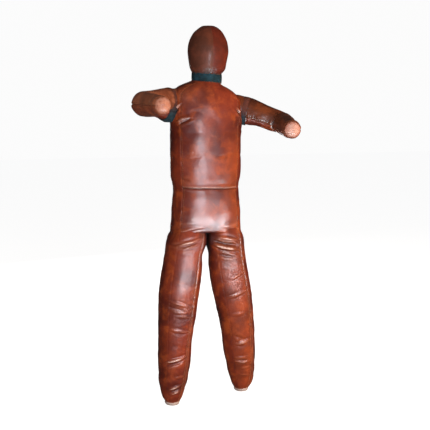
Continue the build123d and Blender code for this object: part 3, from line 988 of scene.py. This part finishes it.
def make_sole(side):
    """Round patch under the foot, turned up a little round its rim."""
    middle = box_middle(f"sole_patch_{side}")
    turns = np.arange(0.0, 360.0, 6.0)
    outline = np.array([(0.0, 0.0006), (0.0, 0.01), (0.0, 0.02), (0.0003, 0.0268), (0.0014, 0.03),
                        (0.0045, 0.0324), (0.0085, 0.0336), (0.0118, 0.0346), (0.013, 0.0342), (0.013, 0.03)])
    z = outline[:, 0]
    lean = LEG_LEAN[side][2] * bump(LEG_LEAN[side][0], LEG_LEAN[side][1])
    centre = np.stack([middle[0] + lean + 0 * z, middle[1] + 0 * z, z], axis=1)
    wave = 1 + 0.02 * np.sin(np.radians(turns) * 3 + 0.6)[None, :]
    form = Form.upright(centre, outline[:, 1:] * wave, turns, z)
    form.points[..., 2] += (0.004 * np.sin(np.radians(turns) * 5) * (z > 0.01)[:, None] * 0.4
                            + 0.003 * (z > 0.01)[:, None] * cosine(turns)[None, :])
    form.worn += 0.3
    faces = tube_faces(len(z), len(turns))
    masks = {"dark": form.dark.ravel(), "worn": form.worn.ravel()}
    piece = make_mesh(f"sole_patch_hide_{side}", form.points.reshape(-1, 3), faces, SOLE_HIDE, None, masks)
    finish_piece(piece, [f"sole_patch_{side}"], body=f"shin_{side}")


# Arms

# Distance along the arm from the shoulder joint and radius
ARM_SHAPE = {
    "right": [(-0.03, 0.07), (0.03, 0.0755), (0.06, 0.0745), (0.1, 0.066), (0.15, 0.058), (0.21, 0.053),
              (0.28, 0.0495), (0.34, 0.0455), (0.4, 0.04), (0.46, 0.0385)],
    "left": [(-0.03, 0.06), (0.03, 0.0655), (0.06, 0.0645), (0.1, 0.059), (0.15, 0.053), (0.21, 0.0495),
             (0.28, 0.0465), (0.34, 0.0435), (0.4, 0.04), (0.46, 0.0385)],
}
ARM_SEAMS = (-90.0, 120.0)     # angle from the top of the arm, positive towards the front
ARM_TIP = 0.04                 # length of the rounded end
ARM_SPLIT = 0.115              # where the upper and lower pieces of a sleeve meet
CAP_LENGTH = 0.024             # of the sewn end
# How far the centre line is moved to the outside of the elbow
ELBOW_OUT = {"right": 0.004, "left": 0.005}
# Where the armhole band begins and ends along the arm, and how much wider it is underneath
BAND_SPAN = {"right": (0.034, 0.058), "left": (0.044, 0.07)}
GUSSET = {"right": 0.036, "left": 0.01}
# How much less deep an arm is at its root
ROOT_FLAT = {"right": 0.34, "left": 0.18}
# How pale a sleeve gets, part wear and part painted highlight, and from where along it
SLEEVE_WEAR_AND_HIGHLIGHT = {"right": (0.55, 0.15), "left": (0.3, 0.17)}

# Creases: (angle, distance along) at each end, depth, half width
ARM_FOLDS = {
    "right": [
        ((60, 0.078), (130, 0.092), 0.003, 0.006),
        ((64, 0.196), (132, 0.198), 0.005, 0.006),
        ((58, 0.218), (138, 0.218), 0.0055, 0.006),
        ((66, 0.242), (128, 0.238), 0.0045, 0.0055),
        ((90, 0.3), (150, 0.314), 0.003, 0.006),
        ((-120, 0.12), (-60, 0.14), 0.003, 0.007),
    ],
    "left": [
        ((96, 0.076), (150, 0.088), 0.003, 0.0055),
        ((84, 0.206), (136, 0.204), 0.005, 0.006),
        ((76, 0.228), (140, 0.226), 0.0055, 0.006),
        ((86, 0.252), (132, 0.246), 0.004, 0.0055),
        ((-120, 0.12), (-60, 0.14), 0.003, 0.007),
    ],
}


def arm_path(side):
    """Centre line, its directions and the distance along it from the shoulder joint."""
    out = np.array([SIGN[side], 0.0, 0.0])
    shoulder, elbow = JOINT[f"shoulder_lift_{side}"], JOINT[f"elbow_fold_{side}"]
    hand = box_middle(f"hand_cap_{side}")
    hand[1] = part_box(f"hand_cap_{side}")[0].y + ARM_TIP
    bisector = unit(unit(elbow - shoulder) + unit(elbow - hand))
    corners = [shoulder - out * 0.1, shoulder - out * 0.002, shoulder + out * 0.035,
               elbow + bisector * ELBOW_OUT[side], hand, hand + unit(hand - elbow) * 0.12]
    runs = [np.linalg.norm(b - a) for a, b in zip(corners, corners[1:])]
    marks = np.concatenate([[0.0], np.cumsum(runs)])
    s = np.arange(0.0, marks[-1], 0.002)
    raw = read_off(s, marks, np.array(corners))
    width = 11
    window = np.exp(-0.5 * (np.arange(-3 * width, 3 * width + 1) / width) ** 2)
    window /= window.sum()
    path = np.stack([np.convolve(raw[:, k], window, "valid") for k in range(3)], axis=1)
    way = unit(np.gradient(path, axis=0))
    run = np.concatenate([[0.0], np.cumsum(np.linalg.norm(np.diff(path, axis=0), axis=1))])
    run -= run[np.argmin(np.linalg.norm(path - shoulder, axis=1))]
    tip = run[np.argmin(np.linalg.norm(path - hand, axis=1))]
    return path, way, run, tip


def arm_form(side):
    path, way, run, tip = arm_path(side)
    dome = tip + ARM_TIP * np.sin(np.radians(np.arange(6, 88, 5)))
    s = np.concatenate([spread([-0.028, *BAND_SPAN[side], ARM_SPLIT, tip], 0.0045, 0.002, 0.006),
                        dome, [tip + ARM_TIP - 0.00002]])
    centre = read_off(s, run, path)
    way = unit(read_off(s, run, way))
    ahead = -SIGN[side] * unit(np.cross(UP, way))
    top = unit(UP - way * (way @ UP)[:, None])
    shape = profile(ARM_SHAPE[side], s)
    past = np.clip((s - tip) / ARM_TIP, 0.0, 1.0)
    shape = shape * np.sqrt(np.maximum(1 - past**2, 0.0003))
    angles = spread([ARM_SEAMS[0], ARM_SEAMS[1], ARM_SEAMS[0] + 360.0], 5.0, 1.3, 9.0)[:-1]
    flat = ROOT_FLAT[side] * sine(angles) ** 2 * (1 - ease(s, 0.06, 0.15))[:, None]
    return Form(centre, top, ahead, shape[:, None] * (1 - flat), angles, s), tip, way[-1]


def arm_relief(form, side, tip):
    height = 0.0026 * noise(form.points, 15.0, 51) + 0.0012 * noise(form.points, 38.0, 52)
    height += form.long_seam(ARM_SEAMS[0], line=0.1, seed=61)
    height += form.long_seam(ARM_SEAMS[1], depth=0.003, pucker=0.0012, line=0.7, seed=62)
    ruck = np.sin(form.along[:, None] * 2 * math.pi / 0.0115 + 2 * noise(form.points, 22.0, 65))
    height += 0.0011 * ruck * bump(form.across_from(ARM_SEAMS[1]) + 0.01, 0.01)
    height += form.creases(ARM_FOLDS[side])
    gather = np.sin(np.radians(form.angles) * 22 + 3 * noise(form.points, 20.0, 63))
    height += 0.0012 * gather * bump(form.along - BAND_SPAN[side][1] - 0.006, 0.01)[:, None]
    rim = form.along[:, None] - (form.along[-1] - CAP_LENGTH)
    height -= 0.002 * bump(rim, 0.003)
    form.dark += 0.45 * bump(rim, 0.0035)
    pleats = np.sin(np.radians(form.angles) * 13 + 2.5 * noise(form.points, 16.0, 64))
    height += 0.0011 * pleats * bump(rim - 0.006, 0.012)
    form.dark += 0.5 * bump(form.along - BAND_SPAN[side][1] - 0.003, 0.005)[:, None]
    # Paler along the forearm: part wear, part painted highlight
    form.worn += SLEEVE_WEAR_AND_HIGHLIGHT[side][0] * ease(form.along, SLEEVE_WEAR_AND_HIGHLIGHT[side][1], 0.3)[:, None]
    # Paler towards the rounded end: part worn leather, part painted highlight
    form.worn += 0.8 * ease(form.along, tip + 0.012, tip + 0.038)[:, None]
    # The top of the sleeve slopes on from the shoulder
    crown = np.clip(cosine(form.angles), 0.0, 1.0) ** 2
    height -= 0.009 * crown * bump(form.along - 0.03, 0.045)[:, None]
    # Room under the armhole for the arm to come down
    under = np.clip(-cosine(form.angles), 0.0, 1.0)
    height -= 0.005 * under * bump(form.along - 0.13, 0.04)[:, None]
    return height * (1 - 0.8 * ease(form.along, tip, form.along[-1]))[:, None]


def make_arm(side):
    form, tip, tip_way = arm_form(side)
    swell = stuffed(form, ARM_SEAMS, [row(form, BAND_SPAN[side][1])], cap=0.004)
    fade = ease(form.along, BAND_SPAN[side][0], 0.09) * (1 - ease(form.along, tip - 0.02, tip))
    form.raise_by(SWELL["arm"] * swell * fade[:, None])
    form.raise_by(arm_relief(form, side, tip))
    form.close_end(tip_way)
    upper_arm, forearm = f"upper_arm_{side}", f"forearm_{side}"
    shoulder, elbow = JOINT[f"shoulder_lift_{side}"], JOINT[f"elbow_fold_{side}"]
    upper_way = unit(elbow - shoulder)
    fore_way = unit(form.points[-1].mean(axis=0) - elbow)
    shoulder_bend = bend_zone("chest", upper_arm, shoulder + upper_way * 0.012, upper_way, 0.045)
    elbow_bend = bend_zone(upper_arm, forearm, elbow, upper_way + fore_way, 0.05)
    split, cap, whole = row(form, ARM_SPLIT), row(form, form.along[-1] - CAP_LENGTH), len(form.angles)
    back, front = column(form, ARM_SEAMS[0]), column(form, ARM_SEAMS[1])
    for part, bone, rows, bend in (("upper", "upper_arm", (0, split), shoulder_bend),
                                   ("lower", "forearm", (split, cap), elbow_bend)):
        piece = panel(f"sleeve_top_{part}_{side}", form, ARM_HIDE[side], rows, (back, front))
        nodes = [f"{bone}_top_panel_{side}", f"{bone}_filling_{side}"]
        finish_piece(piece, nodes, bend=bend)
        piece = panel(f"sleeve_under_{part}_{side}", form, SIDE_HIDE, rows, (front, back + whole))
        finish_piece(piece, [f"{bone}_under_panel_{side}"], bend=bend)
        first = max(rows[0], row(form, BAND_SPAN[side][1] + 0.002))
        lines = [beside(form, ARM_SEAMS[seam], offset, first, rows[1])
                 for seam, offset in ((0, -0.007), (0, 0.007), (1, -0.007))]
        stitches = sew(f"sleeve_stitches_{part}_{side}", lines, THREAD, pitch=0.0075)
        finish_piece(stitches, bend=bend)
    tip_piece = panel(f"hand_cap_hide_{side}", form, CAP_HIDE[side], (cap, len(form.along) - 1))
    finish_piece(tip_piece, [f"hand_cap_{side}"], body=forearm)
    stitches = sew(f"hand_cap_stitches_{side}", [form.ring(cap + 1)], THREAD, pitch=0.007)
    finish_piece(stitches, body=forearm)
    make_armhole_band(form, side, shoulder_bend)


def make_armhole_band(form, side, bend):
    """Cloth ring round the armhole, which widens into a gusset underneath."""
    share = np.linspace(0.0, 1.0, 12)
    inner, outer = BAND_SPAN[side]
    low_part = ease(-cosine(form.angles + 20.0), 0.15, 1.0)
    along = inner + share[:, None] * (outer + GUSSET[side] * low_part - inner)[None, :]
    band = copy.copy(form)
    band.along = along.mean(axis=1)

    def pick(values):
        lines = [np.interp(at, form.along, line) for at, line in zip(along.T, values.T)]
        return np.stack(lines, axis=1)

    band.reach = pick(form.reach)
    band.ray = np.stack([pick(form.ray[..., k]) for k in range(3)], axis=2)
    band.points = np.stack([pick(form.points[..., k]) for k in range(3)], axis=2)
    swell = 0.0008 + 0.0022 * low_part[None, :] + 0.0012 * np.sin(np.pi * share)[:, None]
    swell = swell + 0.0007 * noise(band.points, 40.0, 71)
    band.points = band.points + band.ray * swell[:, :, None]
    band.dark = 0.5 * (bump(share, 0.06) + bump(share - 1.0, 0.06))[:, None] * np.ones(band.reach.shape)
    band.worn = (1 - low_part)[None, :] * np.ones(band.reach.shape)
    band.find_normals()
    piece = panel(f"armhole_band_cloth_{side}", band, BAND_CLOTH, thick=0.004)
    finish_piece(piece, [f"armhole_band_{side}"], bend=bend)


# Head and neck

# Height above the floor and half width
HEAD_SHAPE = [
    (1.436, 0.056), (1.45, 0.0585), (1.476, 0.06), (1.486, 0.066), (1.5, 0.0755), (1.53, 0.0825),
    (1.56, 0.0875), (1.58, 0.089), (1.6, 0.088), (1.625, 0.082), (1.645, 0.0735), (1.662, 0.062),
    (1.675, 0.048), (1.684, 0.032), (1.6885, 0.016), (1.6896, 0.001),
]


def head_form():
    seams = [-180.0, 0.0, 180.0]
    angles = spread(seams, 3.6, 0.9, 7.0)[:-1]
    turn = np.linspace(0, 1, 60)
    z = HEAD_SHAPE[0][0] + (HEAD_SHAPE[-1][0] - HEAD_SHAPE[0][0]) * np.sin(turn * math.pi / 2)
    z = np.unique(np.round(np.concatenate([z, np.linspace(HEAD_SHAPE[0][0], 1.6, 34)]), 5))
    shape = profile(HEAD_SHAPE, z)
    around = np.radians(angles)[None, :]
    reach = shape[:, None] * (1 + 0.03 * np.cos(around) ** 2 * ease(z, 1.47, 1.54)[:, None])
    centre = np.stack([NECK[0] - 0.005 + 0.005 * ease(z, 1.47, 1.5) + 0.001 * ease(z, 1.5, 1.6),
                       NECK[1] + 0 * z, z], axis=1)
    return Form.upright(centre, reach, angles, z)


def make_head():
    form = head_form()
    swell = stuffed(form, (180.0,), cap=0.003)
    fade = ease(form.along, 1.49, 1.53) * (1 - ease(form.along, 1.62, 1.67))
    form.raise_by(SWELL["head"] * swell * fade[:, None])
    height = 0.0022 * noise(form.points, 14.0, 81) + 0.0008 * noise(form.points, 40.0, 82)
    height -= 0.0004 * bump(form.across_from(0.0), 0.0018)
    height += form.long_seam(180.0, depth=0.0034, pucker=0.001, seed=84)
    gather = np.sin(np.radians(form.angles) * 26 + 3 * noise(form.points, 18.0, 85))
    height += 0.0005 * gather * bump(form.along - 1.492, 0.012)[:, None]
    form.dark += 0.5 * bump(form.along - 1.488, 0.006)[:, None]
    form.raise_by(height * (1 - ease(form.along, 1.675, 1.6895))[:, None])
    form.close_end(UP)
    front, back, whole = column(form, 0.0), column(form, 180.0), len(form.angles)
    left = panel("head_panel_hide_left", form, HEAD_HIDE_LEFT, columns=(front, back + whole))
    right = panel("head_panel_hide_right", form, HEAD_HIDE_RIGHT, columns=(back, front))
    finish_piece(left, ["head_panel_left", "head_filling"], body="head")
    finish_piece(right, ["head_panel_right"], body="head")
    low, high = row(form, BAND_HIGH + 0.004), row(form, 1.684)
    lines = [beside(form, 180.0, offset, low, high) for offset in (-0.006, 0.006)]
    finish_piece(sew("head_stitches", lines, THREAD, pitch=0.0075), body="head")


NECK_BAND = (1.444, 0.041, 0.0645)     # height above the floor, width and radius
NECK_ASIDE = 0.0062                    # how far its middle is to the right of the neck's
NECK_TILT = math.radians(3.9)
NECK_BEND = bend_zone("chest", "head", NECK + UP * 0.012, UP, 0.026)


def make_neck_band():
    angles = np.arange(-180.0, 180.0, 4.0)
    share = np.linspace(0.0, 1.0, 14)
    z = NECK_BAND[0] + NECK_BAND[1] * share
    reach = NECK_BAND[2] + 0.001 * share + 0.0018 * np.sin(np.pi * share)
    centre = (NECK - [NECK_ASIDE, 0.0, NECK[2]]) + z[:, None] * UP
    turn = np.radians(angles)[None, :]
    form = Form.upright(centre, reach[:, None] * (1 + 0 * turn), angles, z)
    form.points[..., 2] -= (form.points[..., 0] - NECK[0]) * math.tan(NECK_TILT)
    form.raise_by(0.0008 * noise(form.points, 40.0, 91) + 0.0006 * np.sin(turn * 17 + share[:, None] * 3))
    form.dark = 0.6 * (bump(share, 0.06) + bump(share - 1.0, 0.06))[:, None] * (1 + 0 * turn)
    piece = panel("neck_band_cloth", form, BAND_CLOTH, thick=0.005)
    finish_piece(piece, ["neck_band"], bend=NECK_BEND)
    lines = [form.ring(1), form.ring(len(z) - 2)]
    stitches = sew("neck_band_stitches", lines, THREAD, pitch=0.007, radius=0.0007)
    finish_piece(stitches, bend=NECK_BEND)


make_trunk()
make_head()
make_neck_band()
for side in SIDES:
    make_leg(side)
    make_arm(side)


# Stage

CAMERA_LENS = 65.6            # millimetres, on a sensor 36 mm wide
CAMERA_TURN = -15.0           # degrees from straight ahead, towards the mannequin's right
CAMERA_AWAY = 3.5
CAMERA_RISE = 0.543           # above the place it aims at


def make_camera():
    camera = bpy.data.objects.new("camera", bpy.data.cameras.new("camera"))
    bpy.context.scene.collection.objects.link(camera)
    camera.data.lens = CAMERA_LENS
    camera.data.sensor_width = 36.0
    aim = Vector((TRUNK[0] + 0.042, TRUNK[1], 0.855))
    turn = math.radians(CAMERA_TURN)
    camera.location = aim + Vector((math.sin(turn) * CAMERA_AWAY, -math.cos(turn) * CAMERA_AWAY, CAMERA_RISE))
    camera.rotation_euler = (aim - camera.location).to_track_quat("-Z", "Y").to_euler()
    bpy.context.scene.camera = camera


# Place and aim from the foot of the trunk's axis, size, power and tint; a card only shows as
# gloss on the hide, and the other lights only light it
MIDDLE = (0.0, 0.0, 0.9)
LIGHTS = {
    "key": ((0.1, -3.0, 1.0), MIDDLE, (0.6, 1.7), 94.0, (1.0, 0.93, 0.86)),
    "warm_side": ((2.5, -1.3, 1.3), MIDDLE, (0.8, 1.8), 78.0, (1.0, 0.74, 0.5)),
    "left_fill": ((-1.6, -1.7, 2.3), (0.0, 0.0, 1.2), (1.0, 1.0), 16.0, (1.0, 0.93, 0.86)),
    "back": ((-0.6, 3.0, 1.5), MIDDLE, (1.2, 1.4), 70.0, (1.0, 0.96, 0.92)),
    "front_card": ((-0.24, -3.0, 0.8), MIDDLE, (0.6, 0.46), 56.0, (0.84, 0.89, 1.0)),
    "low_card": ((0.1, -0.7, 0.52), (0.02, -0.1, 0.84), (1.1, 0.13), 24.0, (0.74, 0.92, 1.0)),
    "back_card": ((0.9, 3.0, 1.0), MIDDLE, (0.6, 1.0), 12.0, (0.95, 0.96, 1.0)),
}


def make_light(name, place, aim, size, power, tint):
    light = bpy.data.lights.new(name, "AREA")
    light.shape = "RECTANGLE"
    light.size, light.size_y = size
    light.energy = power
    light.color = tint
    lamp = bpy.data.objects.new(name, light)
    bpy.context.scene.collection.objects.link(lamp)
    place, aim = Vector(TRUNK + place), Vector(TRUNK + aim)
    lamp.location = place
    lamp.rotation_euler = (aim - place).to_track_quat("-Z", "Y").to_euler()
    lamp.visible_camera = False
    lamp.visible_glossy = name.endswith("card")
    lamp.visible_diffuse = not lamp.visible_glossy


def make_world():
    """Dim even light all round, dimmer still in reflections, in front of a pale sweep."""
    world = bpy.data.worlds.new("studio")
    bpy.context.scene.world = world
    world.use_nodes = True
    tree = world.node_tree
    seen = tree.nodes.new("ShaderNodeLightPath")
    shade = tree.nodes["Background"]
    shade.inputs["Color"].default_value = (0.96, 0.97, 1.0, 1.0)
    shade.inputs["Strength"].default_value = 0.14
    last = shade.outputs[0]
    for ray, strength in (("Is Glossy Ray", 0.035), ("Is Camera Ray", 0.97)):
        other = tree.nodes.new("ShaderNodeBackground")
        other.inputs["Strength"].default_value = strength
        other.inputs["Color"].default_value = (1.0, 1.0, 1.0, 1.0)
        choice = tree.nodes.new("ShaderNodeMixShader")
        for socket, link in zip(choice.inputs, (seen.outputs[ray], last, other.outputs[0])):
            tree.links.new(link, socket)
        last = choice.outputs[0]
    tree.links.new(last, tree.nodes["World Output"].inputs["Surface"])


FLOOR_HALF = 14.0


def make_floor():
    """Pale paper that the camera sees lit from within, so that no edge of it shows."""
    corners = [(x * FLOOR_HALF, y * FLOOR_HALF, 0.0) for x, y in ((-1, -1), (1, -1), (1, 1), (-1, 1))]
    mesh = bpy.data.meshes.new("floor")
    mesh.from_pydata(corners, [], [(0, 1, 2, 3)])
    paper = Nodes("floor_paper")
    for key, value in (("Base Color", (0.42, 0.42, 0.42)), ("Roughness", 0.9),
                       ("Specular IOR Level", 0.1), ("Emission Color", (1.0, 1.0, 1.0))):
        paper.feed(paper.shader.inputs[key], value)
    seen = paper.add("ShaderNodeLightPath").outputs["Is Camera Ray"]
    paper.feed(paper.shader.inputs["Emission Strength"], paper.times(seen, 0.9))
    mesh.materials.append(paper.material)
    floor = bpy.data.objects.new("floor", mesh)
    bpy.context.scene.collection.objects.link(floor)
    floor.visible_glossy = False


bpy.context.scene.view_settings.view_transform = "Standard"
make_camera()
make_world()
make_floor()
for light_name, settings in LIGHTS.items():
    make_light(light_name, *settings)
